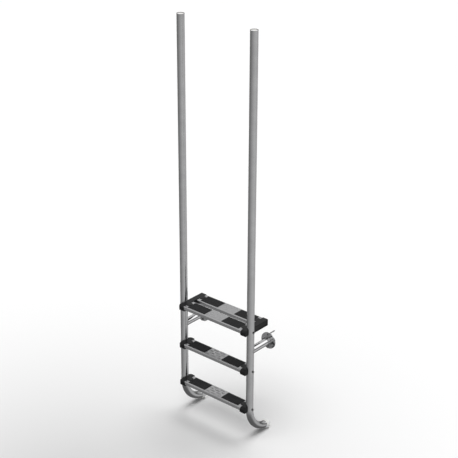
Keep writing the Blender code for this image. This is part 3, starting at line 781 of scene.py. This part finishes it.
def makePlank(name):
    # the channel's outer and inner skins carried along the tread: z = top + section height +
    # the bars' lift
    low, high = nodeBox(f"{name}_plank")
    half = float(high[1] - low[1]) / 2
    middleY = float(high[1] + low[1]) / 2
    height = float(high[2] - low[2])
    outer = channelSkin(0.0, half, height)
    inner = channelSkin(plankValues["sheet"], half, height)
    section = np.concatenate([outer, inner[::-1]])
    inside = np.linspace(-barValues["reach"], barValues["reach"], barValues["rings"])
    x = np.concatenate([[low[0], low[0] / 2], inside, [high[0] / 2, high[0]]])
    onTop = section[:, 1] > -plankValues["topShare"] * plankValues["bend"]
    rings = np.empty((len(x), len(section), 3))
    rings[..., 0] = x[:, None]
    rings[..., 1] = middleY + section[:, 0]
    rings[..., 2] = high[2] + section[:, 1] + barLift(x, section[:, 0]) * onTop[None, :]
    addPiece(f"{name}_tread_channel", thinShell(f"{name}_tread_channel", rings), sheetSteel,
             replaced=[f"{name}_plank"])


def ribSection(half):
    # top of the pad across the tread, round-shouldered ribs on a thin base: h = base +
    # height (3 w^2 - 2 w^3), where w is swell sin(pi phase) - groove kept between 0 and 1
    v = padValues
    count = v["ribs"] * v["samples"] + 1
    y = np.linspace(-half + v["inset"], half - v["inset"], count)
    phase = np.mod((y + half) / (2 * half) * v["ribs"], 1.0)
    wave = np.clip(np.sin(np.pi * phase) * v["swell"] - v["groove"], 0, 1)
    crown = wave * wave * (3 - 2 * wave)
    return y, v["base"] + v["height"] * crown, crown


def makePad(name):
    # the rib section carried along the tread, z = bottom + scale h, where the scale falls as
    # a quarter sine at both ends
    v = padValues
    low, high = nodeBox(name)
    half = float(high[1] - low[1]) / 2
    middleY = float(high[1] + low[1]) / 2
    y, top, crown = ribSection(half)
    edge = np.array([-half, half])
    y = np.concatenate([[edge[0], edge[0]], y, [edge[1], edge[1]]])
    shoulder = v["base"] - v["shoulder"]
    top = np.concatenate([[0.0, shoulder], top, [shoulder, 0.0]])
    crown = np.concatenate([[0, 0], crown, [0, 0]])
    quarter = np.linspace(0, np.pi / 2, v["endRings"])
    ends = np.sin(quarter)
    inset = v["endRound"] * (1 - np.cos(quarter))
    plain = np.linspace(low[0], high[0], v["rows"])[2:-2]
    x = np.concatenate([low[0] + inset, plain, (high[0] - inset)[::-1]])
    scale = np.concatenate([ends, np.ones(len(plain)), ends[::-1]])
    scale = np.maximum(scale, v["endLeast"])
    z = low[2] + scale[:, None] * top[None, :]
    upper = np.stack(np.broadcast_arrays(x[:, None], middleY + y[None, :], z), -1)
    lower = upper[:, ::-1].copy()
    lower[..., 2] = low[2] - v["sink"]
    rings = np.concatenate([upper, lower], axis=1)
    crowns = np.concatenate([np.broadcast_to(crown, z.shape), np.zeros(z.shape)], axis=1)
    addPiece(f"{name}_ribbed", thinShell(f"{name}_ribbed", rings, crowns), padRubber,
             replaced=[name])


for plankName in plankNames:
    makePlank(plankName)
    for side in sideSigns:
        makePad(f"{plankName}_{side}_grip_pad")
print("treads made")


capValues = dict(merge=0.00002, flat=0.5, bevel=0.0011, segments=3, bevelAngle=28.0, sharpAngle=50.0)


def makeCap(level, side):
    # a copy of the frame's cap, its doubled points merged and its moulded edges rounded
    v = capValues
    name = f"{level}_{side}_end_cap"
    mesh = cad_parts[name].data.copy()
    mesh.name = f"{name}_moulding"
    bm = bmesh.new()
    bm.from_mesh(mesh)
    bmesh.ops.remove_doubles(bm, verts=bm.verts, dist=v["merge"])
    flat = math.radians(v["flat"])
    bmesh.ops.dissolve_limit(bm, angle_limit=flat, verts=bm.verts, edges=bm.edges)
    bmesh.ops.recalc_face_normals(bm, faces=bm.faces)
    bm.to_mesh(mesh)
    bm.free()
    piece = addPiece(f"{name}_moulding", mesh, capNylon, replaced=[name])
    bevel = piece.modifiers.new("rounded edges", "BEVEL")
    bevel.width = v["bevel"]
    bevel.segments = v["segments"]
    bevel.limit_method = "ANGLE"
    bevel.angle_limit = math.radians(v["bevelAngle"])
    mesh.shade_smooth()
    mesh.set_sharp_from_angle(angle=math.radians(v["sharpAngle"]))


for level in treadLevels:
    for side in sideSigns:
        makeCap(level, side)
print("end caps made")


boltValues = dict(headRadius=0.0052, headHeight=0.003, rim=0.001, shank=0.003, socket=0.004,
                  socketDepth=0.0018, socketCone=0.0005, mouthEdge=0.0001, mouthDrop=0.0002,
                  sides=72, seat=0.0241, tipEdge=0.0008, headEdge=0.0002, domeAngle=58.0,
                  domeRings=12)
washerValues = dict(radius=0.0068, hole=0.0033, cup=0.0055, thickness=0.002, rim=0.002,
                    edge=0.0005, edgeSteps=5, cupEdge=0.0003, tubeGap=0.0001, sides=72)


def fixingCentre(level, side):
    low, high = nodeBox(f"{level}_{side}_saddle_washer")
    return float(low[2] + high[2]) / 2


def makeBolt(level, side):
    # rings about X: shank, underside, domed head, r = R cos t with h = rim + (H - rim) sin t,
    # and down a hexagon socket
    v = boltValues
    low, high = nodeBox(f"{level}_{side}_tread_bolt")
    length = float(high[0] - low[0])
    angles = np.linspace(0, 2 * np.pi, v["sides"], endpoint=False)
    ones = np.ones(v["sides"])
    seat = v["seat"]
    top = seat + v["headHeight"]
    socket = hexRadius(angles, v["socket"])
    tip = top - length
    profile = [(pinRadius, tip), (v["shank"] - v["tipEdge"], tip), (v["shank"], tip + v["tipEdge"]),
               (v["shank"], seat), (v["headRadius"] - v["headEdge"], seat),
               (v["headRadius"], seat + v["headEdge"])]
    for tilt in np.radians(np.linspace(0, v["domeAngle"], v["domeRings"])):
        height = seat + v["rim"] + (v["headHeight"] - v["rim"]) * math.sin(tilt)
        profile.append((v["headRadius"] * math.cos(tilt), height))
    mouth = profile[-1][1]
    floor = top - v["socketDepth"]
    rows = [(r * ones, h * ones) for r, h in profile]
    rows.append((socket + v["mouthEdge"], (mouth + v["mouthEdge"]) * ones))
    rows.append((socket, (mouth - v["mouthDrop"]) * ones))
    rows.append((socket, floor * ones))
    rows.append((pinRadius * ones, (floor - v["socketCone"]) * ones))
    radii = np.stack([r for r, _ in rows])
    out = np.stack([h for _, h in rows])
    x = sideSigns[side] * (uprightX + out)
    y = uprightY + radii * np.cos(angles)
    z = fixingCentre(level, side) + radii * np.sin(angles)
    name = f"{level}_{side}_tread_bolt"
    addPiece(f"{name}_button_head", ringStack(f"{name}_button_head", np.stack([x, y, z], -1)),
             fastenerSteel, replaced=[name])


def makeWasher(level, side):
    # a closed section turned about X; its inner edge follows the tube, x = sqrt(R^2 - y^2)
    v = washerValues
    angles = np.linspace(0, 2 * np.pi, v["sides"], endpoint=False)
    seat = tubeRadius + v["thickness"]
    outer = seat + v["rim"]
    edge, cupEdge = v["edge"], v["cupEdge"]
    # pairs of radius and height along X; no height means on the tube
    section = [(v["hole"], None), ((v["hole"] + v["radius"]) / 2, None), (v["radius"], None)]
    corner = arcPoints((v["radius"] - edge, outer - edge), edge, 0, 90, v["edgeSteps"])
    section += [tuple(p) for p in corner]
    section += [(v["cup"] + cupEdge, outer), (v["cup"], outer - cupEdge), (v["cup"], seat),
                (v["hole"], seat)]
    rows = []
    for radius, height in section:
        y = radius * np.cos(angles)
        onTube = np.sqrt(tubeRadius ** 2 - y ** 2) + v["tubeGap"]
        out = onTube if height is None else np.full(v["sides"], height)
        rows.append(np.stack([sideSigns[side] * (uprightX + out), uprightY + y,
                              fixingCentre(level, side) + radius * np.sin(angles)], -1))
    name = f"{level}_{side}_saddle_washer"
    addPiece(f"{name}_ring", loopStack(f"{name}_ring", np.stack(rows)), capNylon,
             replaced=[name])


for level in treadLevels:
    for side in sideSigns:
        makeBolt(level, side)
        makeWasher(level, side)
        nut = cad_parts[f"{level}_{side}_captive_nut"]
        nut.data.materials.clear()
        nut.data.materials.append(fastenerSteel)
print("tread fixings made")


groundZ = float(cadBounds[0][2])
# the second floor grey and its soft pool are painted shade round the ladder's feet
floorValues = dict(size=120.0, far="FBFBFB", near="C7C7C7", poolCentre=(-0.05, -1.25),
                   poolRadius=2.8, rough=0.9, gloss=0.1)
skyValues = dict(diffuse=0.2, backdrop=1.0,
                 aroundWay=(0.87, 0.12, 0.0), aroundSpan=(-0.9, 0.9),
                 aroundGreys=[(0.0, 0.22), (0.5, 0.48), (1.0, 0.72)],
                 patchWay=(0.44, 0.69, 0.58), patchGreys=[(0.3, 0.7), (0.93, 0.55), (0.965, 1.5)],
                 bandTop=(0.04, 0.22), bandFoot=(-0.05, -0.2), bandGrey=0.1,
                 deep=(-0.48, -0.8), deepGrey=0.16)
sunValues = {"wall side light": dict(towards=(0.0, 0.42, 1.0), strength=1.3, spread=38),
             "front side light": dict(towards=(0.0, -0.4, 1.0), strength=1.6, spread=44)}
cameraValues = dict(place=(4.07038, -4.81993, 3.45764), pitch=24.23, heading=40.53, roll=0.24,
                    lens=97.139, sensor=36.0, farthest=200.0)


def makeFloor():
    # a wide plain sheet, faintly greyer in a soft pool of painted shade in front of the ladder's feet
    v = floorValues
    half = v["size"] / 2
    mesh = bpy.data.meshes.new("floor")
    corners = [(-half, -half), (half, -half), (half, half), (-half, half)]
    mesh.from_pydata([(x, y, groundZ) for x, y in corners], [], [(0, 1, 2, 3)])
    material, tree, shader = newMaterial("paintedStudioFloor")
    scale = 1 / v["poolRadius"]
    place = (-v["poolCentre"][0] * scale, -v["poolCentre"][1] * scale, -groundZ * scale)
    moved = addNode(tree, "ShaderNodeMapping", inputs={
        "Vector": objectCoords(tree), "Location": place,
        "Scale": (scale, scale, scale)}).outputs["Vector"]
    pool = addNode(tree, "ShaderNodeTexGradient", {"gradient_type": "QUADRATIC_SPHERE"}, {
        "Vector": moved}).outputs["Fac"]
    setInputs(tree, shader, {
        # the pool is painted shade: the floor turns greyer towards its centre
        "Base Color": mixColours(tree, pool, hexColour(v["far"]), hexColour(v["near"])),
        "Roughness": v["rough"], "Specular IOR Level": v["gloss"]})
    mesh.materials.append(material)
    floor = bpy.data.objects.new("floor", mesh)
    bpy.context.scene.collection.objects.link(floor)
    floor.visible_glossy = False


def facingWay(tree, direction, way):
    # how nearly a direction points the given way
    return addNode(tree, "ShaderNodeVectorMath", {"operation": "DOT_PRODUCT"}, {
        0: direction, 1: way}).outputs["Value"]


def smoothStep(tree, factor, span):
    # 0 at the first value of the span, 1 at the second, eased at both
    return addNode(tree, "ShaderNodeMapRange", {"interpolation_type": "SMOOTHSTEP"}, {
        "Value": factor, "From Min": span[0], "From Max": span[1]}).outputs["Result"]


def makeWorld():
    # a white backdrop and an even light for matt surfaces; metal sees a studio: grey below
    # the horizon, brighter to the right and dark straight down, a dark band at the horizon,
    # and pale above with a white patch
    v = skyValues
    world = bpy.data.worlds.new("studio")
    bpy.context.scene.world = world
    world.use_nodes = True
    tree = world.node_tree
    rays = addNode(tree, "ShaderNodeLightPath")
    paleness = addNode(tree, "ShaderNodeMapRange", inputs={
        "Value": rays.outputs["Is Camera Ray"], "To Min": v["diffuse"], "To Max": v["backdrop"]})
    even = tree.nodes["Background"]
    setInputs(tree, even, {"Color": greyColour(1.0), "Strength": paleness.outputs["Result"]})
    direction = addNode(tree, "ShaderNodeTexCoord").outputs["Generated"]
    height = addNode(tree, "ShaderNodeSeparateXYZ", inputs={"Vector": direction}).outputs["Z"]
    facing = facingWay(tree, direction, v["aroundWay"])
    around = colourRamp(tree, spreadRange(tree, facing, (0.0, 1.0), v["aroundSpan"]),
                        [(place, greyColour(grey)) for place, grey in v["aroundGreys"]])
    above = colourRamp(tree, facingWay(tree, direction, v["patchWay"]),
                       [(place, greyColour(grey)) for place, grey in v["patchGreys"]])
    below = mixColours(tree, smoothStep(tree, height, v["deep"]), around, greyColour(v["deepGrey"]))
    band = greyColour(v["bandGrey"])
    grounded = mixColours(tree, smoothStep(tree, height, v["bandFoot"]), band, below)
    seen = mixColours(tree, smoothStep(tree, height, v["bandTop"]), grounded, above)
    studio = addNode(tree, "ShaderNodeBackground", inputs={"Color": seen, "Strength": 1.0})
    mixed = addNode(tree, "ShaderNodeMixShader", inputs={
        0: rays.outputs["Is Glossy Ray"], 1: even.outputs["Background"],
        2: studio.outputs["Background"]})
    tree.links.new(mixed.outputs[0], tree.nodes["World Output"].inputs["Surface"])


def makeSun(name, towards, strength, spread):
    # one broad far light; metal doesn't show its disc
    light = bpy.data.lights.new(name, "SUN")
    light.energy = strength
    light.angle = math.radians(spread)
    holder = bpy.data.objects.new(name, light)
    bpy.context.scene.collection.objects.link(holder)
    holder.rotation_euler = Vector(towards).to_track_quat("Z", "Y").to_euler()
    holder.visible_glossy = False


def makeCamera():
    # a long lens, raised and to the right of the front: turned by its heading, tipped down
    # by its pitch, and rolled a touch
    v = cameraValues
    camera = bpy.data.objects.new("camera", bpy.data.cameras.new("camera"))
    bpy.context.scene.collection.objects.link(camera)
    camera.data.lens = v["lens"]
    camera.data.sensor_width = v["sensor"]
    camera.data.clip_end = v["farthest"]
    turn = Matrix.Rotation(math.radians(v["heading"]), 4, "Z")
    tilt = Matrix.Rotation(math.radians(90 - v["pitch"]), 4, "X")
    roll = Matrix.Rotation(math.radians(v["roll"]), 4, "Z")
    camera.matrix_world = Matrix.Translation(v["place"]) @ turn @ tilt @ roll
    bpy.context.scene.camera = camera


makeFloor()
makeWorld()
for sunName, sunSettings in sunValues.items():
    makeSun(sunName, **sunSettings)
makeCamera()
bpy.context.scene.view_settings.view_transform = "Standard"
print("studio made")
